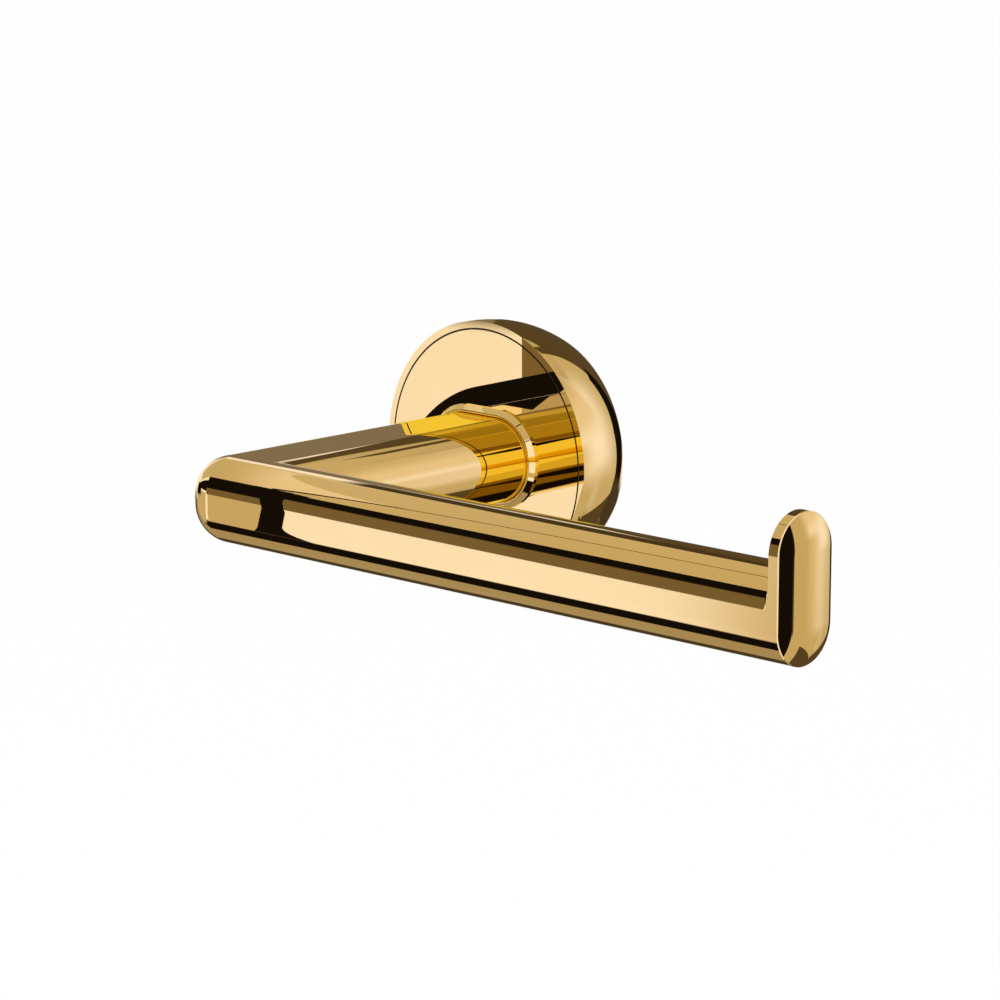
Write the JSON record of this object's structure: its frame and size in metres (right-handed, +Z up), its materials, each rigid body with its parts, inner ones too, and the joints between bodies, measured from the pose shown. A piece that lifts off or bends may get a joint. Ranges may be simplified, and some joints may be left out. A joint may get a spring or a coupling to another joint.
{
  "type": "toilet paper holder",
  "caption": "Wall-mounted toilet roll holder: round bowl-sided rosette, broad post, and an arm with an upturned end stop, in polished gold finish.",
  "frame": {"origin": "centre of the wall plate's back face, on the wall and on the rosette's axis", "axes": "+Y into the wall, +Z up, +X along the arm towards its end stop"},
  "size_m": [0.1742, 0.0908, 0.058],
  "materials": {
    "polished_gold": "mirror polished brass with a pale gold PVD coat",
    "raw_brass": "turned, uncoated",
    "stainless_steel": "turned or pressed, plain",
    "seal_rubber": "moulded, matt",
    "nylon": "natural"
  },
  "bodies": {
    "root": {"wall_plate": "stainless_steel", "rosette_hub": "raw_brass", "grub_screw": "stainless_steel", "wall_seal": "seal_rubber", "rosette_shell": "polished_gold", "rosette_face": "polished_gold", "base_ring": "polished_gold", "foot_washer": "nylon", "post_tube": "polished_gold", "post_end_block": "raw_brass", "post_bolts": "stainless_steel", "bolt_washers": "stainless_steel", "corner_block": "polished_gold", "arm_tube": "polished_gold", "end_stop": "polished_gold", "spring_pins": "stainless_steel"}
  },
  "joints": []
}
